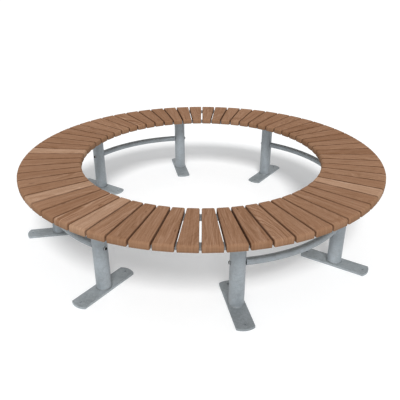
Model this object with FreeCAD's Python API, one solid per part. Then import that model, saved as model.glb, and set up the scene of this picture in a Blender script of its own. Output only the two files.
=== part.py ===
import FreeCAD, Part
import math
import os

# Ring-shaped tree bench, in millimetres. The origin is on the ground, in the middle of the tree space.
# Angles are in degrees, anticlockwise seen from above, from +X.

# Seat
seat_height = 450.0
seat_inner_radius = 708.0
seat_outer_radius = 1056.0
plank_count = 64
plank_gap = 10.0
plank_thickness = 34.0
plank_end_round = 13.0
plank_side_round = 5.5
plank_bottom_round = 2.0

# Flat bar that the rails and the cross arms are cut from
bar_width = 50.0
bar_thickness = 12.0
inner_rail_radius = 755.0
outer_rail_radius = 1009.0
rail_housing_depth = 10.0
rail_housing_play = 2.0
arm_setback = 22.0
segment_count = 4
segment_joint_gap = 2.0

# Legs and foot plates
leg_count = 8
first_leg_angle = 11.25
leg_circle_radius = 882.0
leg_diameter = 76.1
leg_wall = 4.0
cap_thickness = 6.0
foot_length = 374.0
foot_width = 90.0
foot_thickness = 12.0
foot_end_radius = 82.0
foot_corner_round = 4.0
foot_edge_round = 1.0
anchor_offset = 157.0
anchor_hole_diameter = 14.0
weld_width = 4.0
weld_height = 6.5
weld_fullness = 0.6
weld_play = 0.05

# Curved braces, one in each segment; the bulge is how far the middle stands out past the leg circle
brace_height = 249.0
brace_bulge = 12.0
brace_diameter = 38.0
brace_wall = 3.0
brace_plug_length = 20.0
brace_plug_play = 0.1

# Weld beads along the cross arms, on the caps and under the rails
arm_weld_size = 5.0
cap_weld_length = 40.0
rail_weld_length = 24.0

# Bolt that ties a brace to a leg, right through the leg
brace_bolt_diameter = 10.0
brace_bolt_reach = 18.0
bolt_flange_diameter = 21.8
bolt_flange_thickness = 1.4
bolt_dome_diameter = 17.5
bolt_shoulder_diameter = 15.2
bolt_shoulder_height = 4.2
bolt_crown_diameter = 10.5
bolt_head_height = 5.5
bolt_socket_width = 8.0
bolt_socket_depth = 3.2
washer_diameter = 24.0
washer_thickness = 0.8
bolt_hole_play = 1.0
thread_play = 0.1

# Screws that hold the planks from below
screw_diameter = 6.0
screw_length = 25.0
screw_head_diameter = 12.0
screw_head_height = 3.5
screw_head_round = 1.5
screw_socket_width = 4.0
screw_socket_depth = 2.0
screw_offset = 12.0
screw_hole_play = 1.0
screw_pilot_play = 0.4
screw_pilot_spare = 0.5

# Splices that join the rails of two segments
splice_half_length = 26.0
splice_width = 40.0
splice_thickness = 6.0
splice_bolt_offset = 13.0
splice_bolt_diameter = 8.0
splice_bolt_length = 16.0
splice_nut_width = 13.0
splice_head_height = 5.3

# How far a cutting shape runs past the face that it cuts
past = 1.0

# Heights and angles that follow
plank_pitch = 360.0 / plank_count
segment_angle = 360.0 / segment_count
leg_pitch = 360.0 / leg_count
planks_per_leg = plank_count // leg_count
first_seam_angle = first_leg_angle - leg_pitch / 2
plank_bottom = seat_height - plank_thickness
rail_top = plank_bottom + rail_housing_depth
rail_bottom = rail_top - bar_thickness
arm_bottom = rail_bottom - bar_thickness
leg_top = arm_bottom - cap_thickness
splice_bottom = rail_bottom - splice_thickness
arm_inner_end = inner_rail_radius - bar_width / 2 + arm_setback
arm_outer_end = outer_rail_radius + bar_width / 2 - arm_setback
leg_radius = leg_diameter / 2
brace_half_chord = leg_circle_radius * math.sin(math.radians(leg_pitch / 2))
brace_rise = leg_circle_radius * (1 - math.cos(math.radians(leg_pitch / 2))) + brace_bulge
brace_bend_radius = (brace_half_chord ** 2 + brace_rise ** 2) / (2 * brace_rise)
brace_centre_radius = leg_circle_radius + brace_bulge - brace_bend_radius
brace_half_turn = math.degrees(math.asin(brace_half_chord / brace_bend_radius))
brace_end_turn = math.degrees(math.asin(leg_radius / brace_bend_radius))

UP = FreeCAD.Vector(0, 0, 1)
CENTRE = FreeCAD.Vector(0, 0, 0)


def place(radius, angle, height):
    """Point at a radius and an angle round the tree."""
    turn = math.radians(angle)
    return FreeCAD.Vector(radius * math.cos(turn), radius * math.sin(turn), height)


def along_ring(angle):
    """Unit vector along the ring, anticlockwise."""
    turn = math.radians(angle)
    return FreeCAD.Vector(-math.sin(turn), math.cos(turn), 0)


def turned(shape, angle):
    """Copy of a shape, turned about the middle of the bench."""
    copy = shape.copy()
    copy.rotate(CENTRE, UP, angle)
    return copy


def on_axis(shape, origin, direction):
    """Copy of a shape built along +Z, moved onto another axis."""
    copy = shape.copy()
    copy.Placement = FreeCAD.Placement(origin, FreeCAD.Rotation(UP, direction))
    return copy


def save(node, solids):
    """Write one node, as one solid or as a group of separate solids."""
    shape = solids[0] if len(solids) == 1 else Part.makeCompound(solids)
    shape.exportStep("parts/" + node + ".step")


def ring_sector(mid_radius, width, start, end, bottom, thickness):
    """Flat bar bent on edge round the tree, between two angles."""
    inner = mid_radius - width / 2
    outer = mid_radius + width / 2
    middle = (start + end) / 2
    outer_arc = Part.Arc(place(outer, start, bottom), place(outer, middle, bottom), place(outer, end, bottom))
    inner_arc = Part.Arc(place(inner, end, bottom), place(inner, middle, bottom), place(inner, start, bottom))
    end_line = Part.LineSegment(place(outer, end, bottom), place(inner, end, bottom))
    start_line = Part.LineSegment(place(inner, start, bottom), place(outer, start, bottom))
    outline = Part.Wire([edge.toShape() for edge in (outer_arc, end_line, inner_arc, start_line)])
    return Part.Face(outline).extrude(UP * thickness)


def bent_round_bar(section_radius, centre, start, end):
    """Round bar on a brace's arc, between two angles about the arc's own centre."""
    middle = centre + place(brace_bend_radius, start, 0)
    section = Part.Face(Part.Wire(Part.makeCircle(section_radius, middle, along_ring(start))))
    return section.revolve(centre, UP, end - start)


def upright_drill(diameter, radius, angle, bottom, depth):
    """Upright cutter for a round hole, which runs past both faces."""
    return Part.makeCylinder(diameter / 2, depth + 2 * past, place(radius, angle, bottom - past))


def hexagon_prism(width, height):
    """Hexagonal prism along +Z, measured across its flats."""
    corner = width / math.sqrt(3)
    points = []
    for side in range(7):
        turn = math.radians(60 * side)
        points.append(FreeCAD.Vector(corner * math.cos(turn), corner * math.sin(turn), 0))
    return Part.Face(Part.makePolygon(points)).extrude(UP * height)


def edges_at_height(shape, height):
    """Edges that lie flat at one height."""
    flat = []
    for edge in shape.Edges:
        box = edge.BoundBox
        if abs(box.ZMin - height) < 0.01 and abs(box.ZMax - height) < 0.01:
            flat.append(edge)
    return flat


def upright_edges(shape, height):
    """Straight edges that run through the whole height."""
    return [edge for edge in shape.Edges if abs(edge.BoundBox.ZLength - height) < 0.01]


def end_top_edges(plank):
    """Top edges across a plank's two ends."""
    return [edge for edge in edges_at_height(plank, seat_height) if edge.BoundBox.XLength < 0.01]


def side_outline_edges(plank, half_pitch, side_step):
    """Edges round a plank's two sides, up each end and along the top."""
    outline = []
    for edge in plank.Edges:
        middle = edge.valueAt((edge.FirstParameter + edge.LastParameter) / 2)
        on_side = abs(abs(middle.y) - (middle.x * math.tan(half_pitch) - side_step)) < 0.01
        if on_side and middle.z > plank_bottom + 0.01:
            outline.append(edge)
    return outline


def screw_radii(rail_radius):
    """Radii of the two screws that hold a plank to one rail."""
    return [rail_radius - screw_offset, rail_radius + screw_offset]


def make_plank():
    """One tapered plank, its middle line on +X, with housings for the rails and pilot holes."""
    half_pitch = math.radians(plank_pitch / 2)
    side_step = plank_gap / 2 / math.cos(half_pitch)
    inner_half = seat_inner_radius * math.tan(half_pitch) - side_step
    outer_half = seat_outer_radius * math.tan(half_pitch) - side_step
    corners = [
        FreeCAD.Vector(seat_inner_radius, -inner_half, plank_bottom),
        FreeCAD.Vector(seat_outer_radius, -outer_half, plank_bottom),
        FreeCAD.Vector(seat_outer_radius, outer_half, plank_bottom),
        FreeCAD.Vector(seat_inner_radius, inner_half, plank_bottom),
    ]
    outline = Part.makePolygon(corners + corners[:1])
    plank = Part.Face(outline).extrude(UP * plank_thickness)
    plank = plank.makeFillet(plank_end_round, end_top_edges(plank))
    plank = plank.makeFillet(plank_side_round, side_outline_edges(plank, half_pitch, side_step))
    plank = plank.makeFillet(plank_bottom_round, edges_at_height(plank, plank_bottom))
    cutters = []
    housing_width = bar_width + rail_housing_play
    for rail_radius in (inner_rail_radius, outer_rail_radius):
        corner = FreeCAD.Vector(rail_radius - housing_width / 2, -outer_half, plank_bottom - past)
        cutters.append(Part.makeBox(housing_width, 2 * outer_half, rail_housing_depth + past, corner))
        pilot_radius = (screw_diameter + screw_pilot_play) / 2
        pilot_depth = rail_bottom + screw_length - rail_top + screw_pilot_spare
        for radius in screw_radii(rail_radius):
            foot = place(radius, 0, rail_top - past)
            cutters.append(Part.makeCylinder(pilot_radius, pilot_depth + past, foot))
    return plank.cut(cutters).Solids[0]


def make_screw():
    """Plank screw along +Z, its head under the rail at height 0."""
    head_face = UP * -screw_head_height
    head = Part.makeCylinder(screw_head_diameter / 2, screw_head_height, head_face)
    head = head.makeFillet(screw_head_round, edges_at_height(head, -screw_head_height)[:1])
    socket = hexagon_prism(screw_socket_width, screw_socket_depth)
    socket.translate(head_face)
    shank = Part.makeCylinder(screw_diameter / 2, screw_length)
    return head.cut(socket).fuse(shank).removeSplitter().Solids[0]


def plank_angles(first, count):
    """Middle angles of a run of planks, counted from a seam."""
    return [first + plank_pitch * (number + 0.5) for number in range(count)]


def make_rail(rail_radius, segment):
    """One quarter of a rail, with the plank screws' holes and the splice bolts' holes."""
    start = first_seam_angle + segment_angle * segment
    end = start + segment_angle
    play = math.degrees(segment_joint_gap / 2 / rail_radius)
    rail = ring_sector(rail_radius, bar_width, start + play, end - play, rail_bottom, bar_thickness)
    cutters = []
    for angle in plank_angles(start, plank_count // segment_count):
        for radius in screw_radii(rail_radius):
            hole = screw_diameter + screw_hole_play
            cutters.append(upright_drill(hole, radius, angle, rail_bottom, bar_thickness))
    bolt_turn = math.degrees(splice_bolt_offset / rail_radius)
    for angle in (start + bolt_turn, end - bolt_turn):
        hole = splice_bolt_diameter + thread_play
        cutters.append(upright_drill(hole, rail_radius, angle, rail_bottom, bar_thickness))
    return rail.cut(cutters).Solids[0]


def make_cross_arm():
    """Flat bar on top of a leg, on +X, that carries both rails and stops short of their far edges."""
    corner = FreeCAD.Vector(arm_inner_end, -bar_width / 2, arm_bottom)
    return Part.makeBox(arm_outer_end - arm_inner_end, bar_width, bar_thickness, corner)


def make_cap():
    """Round plate that closes the top of a leg."""
    return Part.makeCylinder(leg_radius, cap_thickness, FreeCAD.Vector(leg_circle_radius, 0, leg_top))


def make_foot():
    """Long foot plate across the ring, on +X, with arched ends and two anchor holes."""
    half_width = foot_width / 2
    half_length = foot_length / 2
    arch = foot_end_radius - math.sqrt(foot_end_radius ** 2 - half_width ** 2)
    corner_reach = half_length - arch
    middle = leg_circle_radius

    def corner(direction, side):
        return FreeCAD.Vector(middle + direction * corner_reach, side * half_width, 0)

    outer_tip = FreeCAD.Vector(middle + half_length, 0, 0)
    inner_tip = FreeCAD.Vector(middle - half_length, 0, 0)
    edges = [
        Part.LineSegment(corner(-1, -1), corner(1, -1)),
        Part.Arc(corner(1, -1), outer_tip, corner(1, 1)),
        Part.LineSegment(corner(1, 1), corner(-1, 1)),
        Part.Arc(corner(-1, 1), inner_tip, corner(-1, -1)),
    ]
    outline = Part.Wire([edge.toShape() for edge in edges])
    foot = Part.Face(outline).extrude(UP * foot_thickness)
    foot = foot.makeFillet(foot_corner_round, upright_edges(foot, foot_thickness))
    foot = foot.makeFillet(foot_edge_round, edges_at_height(foot, foot_thickness))
    for reach in (-anchor_offset, anchor_offset):
        foot = foot.cut(upright_drill(anchor_hole_diameter, middle + reach, 0, 0, foot_thickness))
    return foot.Solids[0]


def make_foot_weld():
    """Rounded weld bead round the bottom of a leg, on +X."""
    inner = leg_radius + weld_play
    outer = inner + weld_width
    top = foot_thickness + weld_height
    low_inner = FreeCAD.Vector(inner, 0, foot_thickness)
    low_outer = FreeCAD.Vector(outer, 0, foot_thickness)
    high_inner = FreeCAD.Vector(inner, 0, top)
    crest_reach = inner + weld_fullness * weld_width
    crest = FreeCAD.Vector(crest_reach, 0, foot_thickness + weld_fullness * weld_height)
    edges = [
        Part.LineSegment(low_inner, low_outer),
        Part.Arc(low_outer, crest, high_inner),
        Part.LineSegment(high_inner, low_inner),
    ]
    section = Part.Face(Part.Wire([edge.toShape() for edge in edges]))
    bead = section.revolve(CENTRE, UP, 360)
    bead.translate(FreeCAD.Vector(leg_circle_radius, 0, 0))
    return bead.Solids[0]


def arm_weld(middle_radius, side, height, rise, length):
    """Three-cornered bead along one side of a cross arm; rise is 1 upwards and -1 downwards."""
    corner = FreeCAD.Vector(middle_radius - length / 2, side * bar_width / 2, height)
    across = corner + FreeCAD.Vector(0, side * arm_weld_size, 0)
    upright = corner + FreeCAD.Vector(0, 0, rise * arm_weld_size)
    section = Part.Face(Part.makePolygon([corner, across, upright, corner]))
    return section.extrude(FreeCAD.Vector(length, 0, 0))


def make_arm_welds():
    """Beads that join one cross arm, on +X, to its cap and to both rails."""
    beads = []
    for side in (-1, 1):
        beads.append(arm_weld(leg_circle_radius, side, arm_bottom, 1, cap_weld_length))
        inner_middle = (arm_inner_end + inner_rail_radius + bar_width / 2) / 2
        outer_middle = (arm_outer_end + outer_rail_radius - bar_width / 2) / 2
        for middle_radius in (inner_middle, outer_middle):
            beads.append(arm_weld(middle_radius, side, rail_bottom, -1, rail_weld_length))
    return beads


class BraceEnd:
    """One end of a brace and the axis of its bolt, which runs through the leg."""

    def __init__(self, leg_number):
        leg_angle = first_leg_angle + leg_pitch * (leg_number - 1)
        # Odd legs carry the brace on their anticlockwise side, even legs on the other side.
        self.side = 1 if leg_number % 2 == 1 else -1
        brace_middle = leg_angle + self.side * leg_pitch / 2
        self.centre = place(brace_centre_radius, brace_middle, brace_height)
        self.angle = brace_middle - self.side * (brace_half_turn - brace_end_turn)
        self.point = self.centre + place(brace_bend_radius, self.angle, 0)
        self.direction = along_ring(self.angle) * -self.side
        self.leg_axis = place(leg_circle_radius, leg_angle, 0)

    def along(self, distance):
        """Point on the bolt's axis, measured from the end of the brace towards the bolt's head."""
        return self.point + self.direction * distance

    def rod(self, radius, start, end):
        """Round rod on the bolt's axis."""
        return Part.makeCylinder(radius, end - start, self.along(start), self.direction)


def make_leg(leg_number):
    """Round tube from the foot plate to the cap, drilled across for the brace's bolt."""
    brace_end = BraceEnd(leg_number)
    base = brace_end.leg_axis + UP * foot_thickness
    height = leg_top - foot_thickness
    outside = Part.makeCylinder(leg_radius, height, base)
    inside = Part.makeCylinder(leg_radius - leg_wall, height, base)
    hole_radius = (brace_bolt_diameter + bolt_hole_play) / 2
    hole = brace_end.rod(hole_radius, -leg_radius, leg_diameter + leg_radius)
    return outside.cut([inside, hole]).Solids[0]


def make_brace(first_leg_number):
    """Bent round tube between the two legs of a segment."""
    first = BraceEnd(first_leg_number)
    sweep = 2 * (brace_half_turn - brace_end_turn)
    outside = bent_round_bar(brace_diameter / 2, first.centre, first.angle, first.angle + sweep)
    inside = bent_round_bar(brace_diameter / 2 - brace_wall, first.centre, first.angle, first.angle + sweep)
    return outside.cut(inside).Solids[0]


def make_brace_plug(leg_number):
    """Threaded plug welded into the end of a brace."""
    brace_end = BraceEnd(leg_number)
    turn = brace_end.side * math.degrees(brace_plug_length / brace_bend_radius)
    start = min(brace_end.angle, brace_end.angle + turn)
    end = max(brace_end.angle, brace_end.angle + turn)
    plug = bent_round_bar(brace_diameter / 2 - brace_wall - brace_plug_play, brace_end.centre, start, end)
    thread = brace_end.rod((brace_bolt_diameter + thread_play) / 2, -2 * brace_plug_length, leg_radius)
    return plug.cut(thread).Solids[0]


def make_brace_bolt():
    """Bolt with a flanged dome head along +Z, its head's seat at height 0, its shank downwards."""
    shank_length = washer_thickness + leg_diameter + brace_bolt_reach
    shank = Part.makeCylinder(brace_bolt_diameter / 2, shank_length, FreeCAD.Vector(0, 0, -shank_length))
    low_rim = FreeCAD.Vector(bolt_flange_diameter / 2, 0, 0)
    high_rim = FreeCAD.Vector(bolt_flange_diameter / 2, 0, bolt_flange_thickness)
    dome_foot = FreeCAD.Vector(bolt_dome_diameter / 2, 0, bolt_flange_thickness)
    shoulder = FreeCAD.Vector(bolt_shoulder_diameter / 2, 0, bolt_shoulder_height)
    crown = FreeCAD.Vector(bolt_crown_diameter / 2, 0, bolt_head_height)
    top = UP * bolt_head_height
    edges = [
        Part.LineSegment(CENTRE, low_rim),
        Part.LineSegment(low_rim, high_rim),
        Part.LineSegment(high_rim, dome_foot),
        Part.Arc(dome_foot, shoulder, crown),
        Part.LineSegment(crown, top),
        Part.LineSegment(top, CENTRE),
    ]
    section = Part.Face(Part.Wire([edge.toShape() for edge in edges]))
    head = section.revolve(CENTRE, UP, 360)
    socket = hexagon_prism(bolt_socket_width, bolt_socket_depth + past)
    socket.translate(UP * (bolt_head_height - bolt_socket_depth))
    return head.cut(socket).fuse(shank).removeSplitter().Solids[0]


def make_saddle_washer(leg_number):
    """Washer between the bolt's head and the round leg, hollowed to fit the leg."""
    brace_end = BraceEnd(leg_number)
    blank = brace_end.rod(washer_diameter / 2, leg_diameter - leg_radius / 2, leg_diameter + washer_thickness)
    leg = Part.makeCylinder(leg_radius + weld_play, seat_height, brace_end.leg_axis)
    hole = brace_end.rod((brace_bolt_diameter + bolt_hole_play) / 2, 0, leg_diameter + 2 * washer_thickness)
    return blank.cut([leg, hole]).Solids[0]


def make_splice(rail_radius):
    """Plate under the joint of two rails, on +X, with a hole for each bolt."""
    half_turn = math.degrees(splice_half_length / rail_radius)
    plate = ring_sector(rail_radius, splice_width, -half_turn, half_turn, splice_bottom, splice_thickness)
    bolt_turn = math.degrees(splice_bolt_offset / rail_radius)
    cutters = []
    for angle in (-bolt_turn, bolt_turn):
        hole = splice_bolt_diameter + bolt_hole_play
        cutters.append(upright_drill(hole, rail_radius, angle, splice_bottom, splice_thickness))
    return plate.cut(cutters).Solids[0]


def make_splice_bolt():
    """Hexagon bolt along +Z, its head under the splice plate at height 0."""
    head = hexagon_prism(splice_nut_width, splice_head_height)
    head.translate(UP * -splice_head_height)
    shank = Part.makeCylinder(splice_bolt_diameter / 2, splice_bolt_length)
    return head.fuse(shank).removeSplitter().Solids[0]


def save_seat():
    """Eight groups of planks, one over each leg, and the screws that hold them."""
    plank = make_plank()
    screw = make_screw()
    for number in range(1, leg_count + 1):
        start = first_seam_angle + leg_pitch * (number - 1)
        angles = plank_angles(start, planks_per_leg)
        save("seat_planks_%d" % number, [turned(plank, angle) for angle in angles])
    for name, rail_radius in (("inner", inner_rail_radius), ("outer", outer_rail_radius)):
        screws = []
        for angle in plank_angles(first_seam_angle, plank_count):
            for radius in screw_radii(rail_radius):
                seated = screw.copy()
                seated.translate(FreeCAD.Vector(radius, 0, rail_bottom))
                screws.append(turned(seated, angle))
        save("plank_screws_" + name, screws)


def save_rails():
    """Four quarters of each rail, the splices between them and the splice bolts."""
    bolts = []
    for name, rail_radius in (("inner", inner_rail_radius), ("outer", outer_rail_radius)):
        splices = []
        bolt_turn = math.degrees(splice_bolt_offset / rail_radius)
        for segment in range(segment_count):
            save("%s_rail_%d" % (name, segment + 1), [make_rail(rail_radius, segment)])
            seam = first_seam_angle + segment_angle * segment
            splices.append(turned(make_splice(rail_radius), seam))
            for angle in (seam - bolt_turn, seam + bolt_turn):
                bolt = make_splice_bolt()
                bolt.translate(place(rail_radius, 0, splice_bottom))
                bolts.append(turned(bolt, angle))
        save(name + "_rail_splices", splices)
    save("splice_bolts", bolts)


def save_legs():
    """Each leg with its foot plate, cap and cross arm, and the weld beads at both ends."""
    foot_welds = []
    arm_welds = []
    caps = []
    for number in range(1, leg_count + 1):
        angle = first_leg_angle + leg_pitch * (number - 1)
        save("leg_%d" % number, [make_leg(number)])
        save("foot_plate_%d" % number, [turned(make_foot(), angle)])
        save("cross_arm_%d" % number, [turned(make_cross_arm(), angle)])
        foot_welds.append(turned(make_foot_weld(), angle))
        arm_welds.extend(turned(bead, angle) for bead in make_arm_welds())
        caps.append(turned(make_cap(), angle))
    save("foot_weld_beads", foot_welds)
    save("arm_weld_beads", arm_welds)
    save("leg_caps", caps)


def save_braces():
    """The four braces with their plugs, bolts and washers."""
    plugs = []
    bolts = []
    washers = []
    bolt = make_brace_bolt()
    for number in range(1, leg_count + 1):
        brace_end = BraceEnd(number)
        if number % 2 == 1:
            save("brace_%d" % ((number + 1) // 2), [make_brace(number)])
        plugs.append(make_brace_plug(number))
        seat = brace_end.along(leg_diameter + washer_thickness)
        bolts.append(on_axis(bolt, seat, brace_end.direction))
        washers.append(make_saddle_washer(number))
    save("brace_plugs", plugs)
    save("brace_bolts", bolts)
    save("brace_washers", washers)


os.makedirs("parts", exist_ok=True)
save_seat()
save_rails()
save_legs()
save_braces()
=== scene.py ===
import math

import bmesh
import bpy
import numpy as np
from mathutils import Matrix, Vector


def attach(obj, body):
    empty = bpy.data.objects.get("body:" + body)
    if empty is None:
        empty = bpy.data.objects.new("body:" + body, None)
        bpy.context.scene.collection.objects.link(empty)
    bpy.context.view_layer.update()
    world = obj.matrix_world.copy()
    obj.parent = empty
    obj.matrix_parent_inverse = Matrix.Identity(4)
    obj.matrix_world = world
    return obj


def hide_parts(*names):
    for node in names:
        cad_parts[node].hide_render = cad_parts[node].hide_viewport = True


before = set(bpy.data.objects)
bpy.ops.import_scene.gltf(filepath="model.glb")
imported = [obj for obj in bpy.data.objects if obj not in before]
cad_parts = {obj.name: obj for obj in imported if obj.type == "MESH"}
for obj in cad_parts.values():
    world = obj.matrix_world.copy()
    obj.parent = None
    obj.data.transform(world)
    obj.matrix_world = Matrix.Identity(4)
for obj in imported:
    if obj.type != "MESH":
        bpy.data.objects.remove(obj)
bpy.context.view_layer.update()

# A ring-shaped tree bench, in metres. Each repeated piece is modelled once, out along +X, and a
# geometry node tree then sets it round the ring. Angles are anticlockwise from +X, seen from above.

MM = 0.001

# Sizes
SEAT_TOP = 450 * MM
SEAT_INNER = 708 * MM
SEAT_OUTER = 1056 * MM
PLANK_COUNT = 64
PLANK_GAP = 10 * MM
PLANK_BOTTOM = 416 * MM
PLANK_END_ROUND = 13 * MM
PLANK_SIDE_ROUND = 5.5 * MM
PLANK_BOTTOM_ROUND = 2 * MM
PLANK_TRIM = 0.1 * MM
PLANK_PITCH = 2 * math.pi / PLANK_COUNT
# A narrow flat beside each rounded edge keeps the shading of the faces plain.
FLAT_EDGE = 0.8 * MM

BAR_WIDTH = 50 * MM
BAR_THICKNESS = 12 * MM
INNER_RAIL = 755 * MM
OUTER_RAIL = 1009 * MM
HOUSING_WIDTH = 52 * MM
HOUSING_DEPTH = 10 * MM
CUTTER_LENGTH = 200 * MM
RAIL_BOTTOM = PLANK_BOTTOM + HOUSING_DEPTH - BAR_THICKNESS
SEGMENT_COUNT = 4
SEGMENT_JOINT = 2 * MM
BAR_EASE = 0.8 * MM

LEG_COUNT = 8
LEG_PITCH = 2 * math.pi / LEG_COUNT
FIRST_LEG = math.radians(11.25)
FIRST_SEAM = FIRST_LEG - LEG_PITCH / 2
LEG_CIRCLE = 882 * MM
LEG_RADIUS = 38.05 * MM
LEG_FOOT = 12 * MM
LEG_HEAD = 396 * MM
LEG_EASE = 0.6 * MM

# A brace bends a little tighter than the leg circle, and its middle stands out past it.
BRACE_HEIGHT = 249 * MM
BRACE_BULGE = 12 * MM
BRACE_RADIUS = 19 * MM
BRACE_BORE = 16 * MM
BRACE_HALF_CHORD = LEG_CIRCLE * math.sin(LEG_PITCH / 2)
BRACE_RISE = LEG_CIRCLE * (1 - math.cos(LEG_PITCH / 2)) + BRACE_BULGE
BRACE_BEND = (BRACE_HALF_CHORD ** 2 + BRACE_RISE ** 2) / (2 * BRACE_RISE)
BRACE_CENTRE = LEG_CIRCLE + BRACE_BULGE - BRACE_BEND
BRACE_REACH = math.asin(BRACE_HALF_CHORD / BRACE_BEND) - math.asin(LEG_RADIUS / BRACE_BEND)

BOLT_RADIUS = 5 * MM
BOLT_REACH = 18 * MM
FLANGE_RADIUS = 10.9 * MM
FLANGE_THICKNESS = 1.4 * MM
FLANGE_EASE = 0.4 * MM
DOME_RADIUS = 8.75 * MM
CROWN_RADIUS = 5.25 * MM
BOLT_HEAD_HEIGHT = 5.5 * MM
SOCKET_WIDTH = 8 * MM
SOCKET_DEPTH = 3.2 * MM
WASHER_THICKNESS = 0.8 * MM

SCREW_OFFSET = 12 * MM
SCREW_HEAD_RADIUS = 6 * MM
SCREW_HEAD_HEIGHT = 3.5 * MM
SCREW_HEAD_RIM = 1.6 * MM
SCREW_RECESS_RADIUS = 2.2 * MM
SCREW_RECESS_DEPTH = 2 * MM

FOOT_WELD_WIDTH = 4 * MM
FOOT_WELD_HEIGHT = 6.5 * MM
ARM_WELD = 5 * MM
WELD_CLEARANCE = 0.1 * MM
WELD_RUN = 40 * MM
RAIL_WELD_RUN = 24 * MM
ARM_SETBACK = 22 * MM

# An edge that turns more than this stays sharp; the ripples of the welds don't.
SHARP_EDGE = math.radians(32)
SHARP_WELD_EDGE = math.radians(60)


# Mesh helpers
def placed(name, data):
    """Object for a mesh, a lamp or a camera, at the origin of the scene."""
    thing = bpy.data.objects.new(name, data)
    bpy.context.scene.collection.objects.link(thing)
    return thing


def make_piece(name, points, faces, sharp=SHARP_EDGE):
    """Object with its own mesh, shaded smooth except over sharp edges."""
    mesh = bpy.data.meshes.new(name)
    mesh.from_pydata([tuple(p) for p in points], [], [tuple(f) for f in faces])
    mesh.validate()
    mesh.shade_smooth()
    mesh.set_sharp_from_angle(angle=sharp)
    return placed(name, mesh)


def make_pattern(name, skin, sharp=SHARP_EDGE):
    """Piece from a skin's points and faces, with every face turned outwards."""
    piece = make_piece(name, *skin, sharp)
    mesh = bmesh.new()
    mesh.from_mesh(piece.data)
    bmesh.ops.recalc_face_normals(mesh, faces=mesh.faces)
    mesh.to_mesh(piece.data)
    mesh.free()
    return piece


def loft(sections, closed_loop=False):
    """Points and faces of a skin through equal sections, its ends closed unless it is a loop."""
    size = len(sections[0])
    points = [p for section in sections for p in section]
    faces = []
    spans = len(sections) if closed_loop else len(sections) - 1
    for row in range(spans):
        low = row * size
        high = ((row + 1) % len(sections)) * size
        for k in range(size):
            n = (k + 1) % size
            faces.append((low + k, low + n, high + n, high + k))
    if not closed_loop:
        faces.append(tuple(reversed(range(size))))
        last = (len(sections) - 1) * size
        faces.append(tuple(last + k for k in range(size)))
    return points, faces


def lathe(profile, centre_x, sides):
    """Skin turned round an upright axis, from (radius, height) pairs, closed at both ends."""
    return loft([[(centre_x + radius * math.cos(turn), radius * math.sin(turn), z)
                  for turn in full_turn(sides)] for radius, z in profile])


def together(skins):
    """Several skins as one."""
    points, faces = [], []
    for more_points, more_faces in skins:
        faces += [tuple(len(points) + v for v in face) for face in more_faces]
        points += more_points
    return points, faces


def full_turn(steps):
    """Angles of equal steps once round."""
    return [2 * math.pi * k / steps for k in range(steps)]


def quarter_turn(steps):
    """Angles of equal steps through a right angle, both ends included."""
    return [k / steps * math.pi / 2 for k in range(steps + 1)]


def on_ring(radius, angle, height):
    return Vector((radius * math.cos(angle), radius * math.sin(angle), height))


def joined(name, pieces):
    """One piece from several that share a material, with their attributes."""
    with bpy.context.temp_override(active_object=pieces[0], selected_editable_objects=pieces):
        bpy.ops.object.join()
    pieces[0].name = name
    pieces[0].data.name = name
    return pieces[0]


# Geometry node trees
def new_tree(name, inputs):
    """Empty geometry node tree with named inputs, given as (name, socket type, value)."""
    tree = bpy.data.node_groups.new(name, "GeometryNodeTree")
    tree.interface.new_socket("Geometry", in_out="INPUT", socket_type="NodeSocketGeometry")
    for label, kind, value in inputs:
        socket = tree.interface.new_socket(label, in_out="INPUT", socket_type=kind)
        if value is not None:
            socket.default_value = value
    tree.interface.new_socket("Geometry", in_out="OUTPUT", socket_type="NodeSocketGeometry")
    return tree


def fill(tree, node, inputs):
    """Fills a node's inputs with sockets or values."""
    for key, value in inputs.items():
        socket = node.inputs[key]
        if isinstance(value, bpy.types.NodeSocket):
            tree.links.new(value, socket)
        else:
            socket.default_value = value


def add(tree, kind, inputs=None, **settings):
    """Adds a node, sets its properties and fills its inputs."""
    node = tree.nodes.new(kind)
    for key, value in settings.items():
        setattr(node, key, value)
    fill(tree, node, inputs or {})
    return node


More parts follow.
